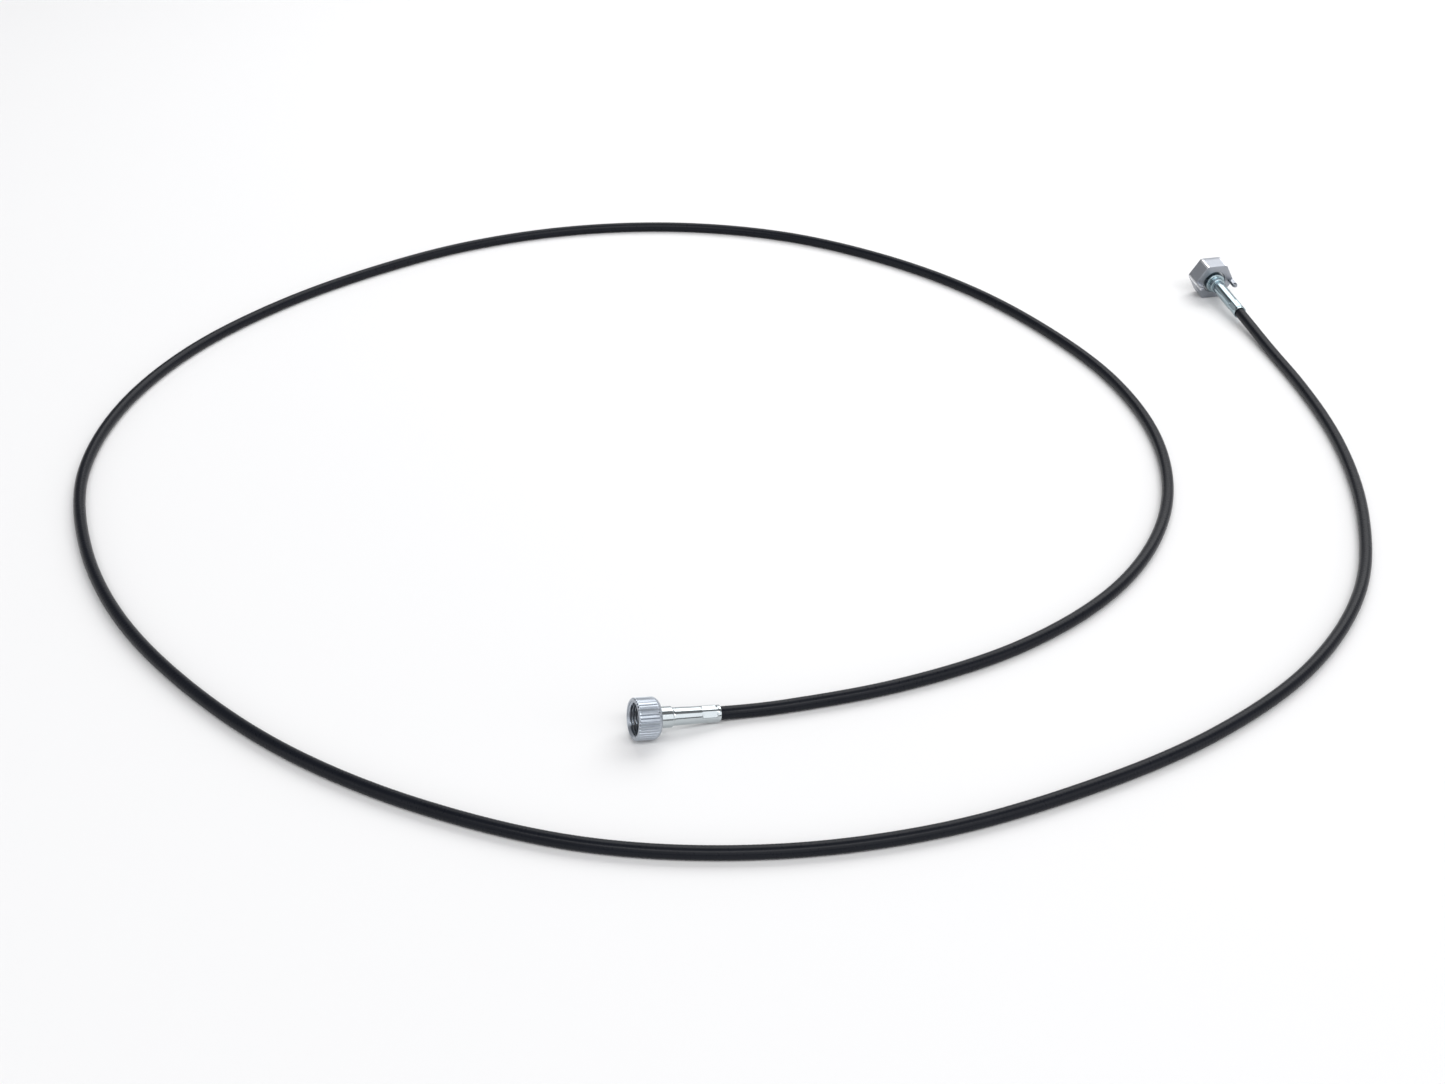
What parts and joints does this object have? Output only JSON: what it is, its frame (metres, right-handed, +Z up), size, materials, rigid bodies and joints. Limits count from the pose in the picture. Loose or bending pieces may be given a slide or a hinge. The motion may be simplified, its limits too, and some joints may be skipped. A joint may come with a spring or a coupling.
{
  "type": "flexible rotary drive cable",
  "caption": "Flexible drive cable: a squared inner shaft turns in a lined, armoured black casing with plated end ferrules, a knurled union nut and a hexagonal union nut with sealing ears.",
  "frame": {"origin": "on the surface that the cable lies on, at the bottom centre of the box round its two end fittings", "axes": "+Z up; +X from the knurled end's side to the hexagonal end's side, +Y from the knurled end's side to the hexagonal end's side, which is the longer way"},
  "size_m": [0.7927, 0.7359, 0.0274],
  "materials": {
    "sheath": "satin black PVC, faintly ribbed by the armour inside",
    "armour": "wound flat steel wire",
    "liner": "natural nylon",
    "shaft": "wound spring steel wire, greased",
    "knurled_ferrule": "bright zinc plate",
    "hex_ferrule": "blue zinc plate",
    "bush": "sintered bronze",
    "seal": "nitrile rubber",
    "washer": "zinc-plated",
    "knurled_nut": "bright plated, straight knurl",
    "hex_nut": "dull cast zinc alloy",
    "clip": "blued spring steel",
    "tip": "hardened steel, bare"
  },
  "bodies": {
    "casing": {"outer_sheath": "sheath", "steel_armour": "armour", "inner_liner": "liner", "shaft_winding": "shaft", "shaft_strand": "shaft", "knurled_end_ferrule": "knurled_ferrule", "knurled_end_bush": "bush", "knurled_end_seal": "seal", "hex_end_ferrule": "hex_ferrule", "hex_end_bush": "bush", "hex_end_seal": "seal"},
    "knurled_washer": {"knurled_end_washer": "washer"},
    "knurled_nut": {"knurled_nut": "knurled_nut"},
    "knurled_clip": {"knurled_end_clip": "clip"},
    "knurled_shaft": {"knurled_end_tip": "tip", "knurled_end_shaft": "shaft"},
    "hex_washer": {"hex_end_washer": "washer"},
    "hex_nut": {"hex_nut": "hex_nut"},
    "hex_clip": {"hex_end_clip": "clip"},
    "hex_shaft": {"hex_end_tip": "tip", "hex_end_shaft": "shaft"}
  },
  "joints": [
    {"name": "knurled_nut_slide", "type": "slide", "parent": "casing", "child": "knurled_washer", "axis": [0.9326, 0.3211, -0.165], "range_m": [0, 0.03]},
    {"name": "knurled_nut_spin", "type": "hinge", "parent": "knurled_washer", "child": "knurled_nut", "pos_m": [-0.2079, -0.2613, 0.01243], "axis": [-0.9326, -0.3211, 0.165], "continuous": true},
    {"name": "knurled_end_float", "type": "slide", "parent": "casing", "child": "knurled_clip", "axis": [-0.9326, -0.3211, 0.165], "range_m": [-0.0008, 0.0008]},
    {"name": "knurled_end_turn", "type": "hinge", "parent": "knurled_clip", "child": "knurled_shaft", "pos_m": [-0.20333, -0.25973, 0.01163], "axis": [-0.9326, -0.3211, 0.165], "continuous": true},
    {"name": "hex_nut_slide", "type": "slide", "parent": "casing", "child": "hex_washer", "axis": [0.2235, -0.9681, -0.1132], "range_m": [0, 0.036]},
    {"name": "hex_nut_spin", "type": "hinge", "parent": "hex_washer", "child": "hex_nut", "pos_m": [0.1932, 0.2687, 0.01442], "axis": [-0.2235, 0.9681, 0.1132], "continuous": true},
    {"name": "hex_end_float", "type": "slide", "parent": "casing", "child": "hex_clip", "axis": [-0.2235, 0.9681, 0.1132], "range_m": [-0.0008, 0.0008]},
    {"name": "hex_end_turn", "type": "hinge", "parent": "hex_clip", "child": "hex_shaft", "pos_m": [0.19429, 0.26396, 0.01387], "axis": [-0.2235, 0.9681, 0.1132], "continuous": true}
  ],
  "couplings": [
    {"joint": "hex_end_float", "follows": "knurled_end_float", "ratio": -1},
    {"joint": "hex_end_turn", "follows": "knurled_end_turn", "ratio": -1}
  ]
}
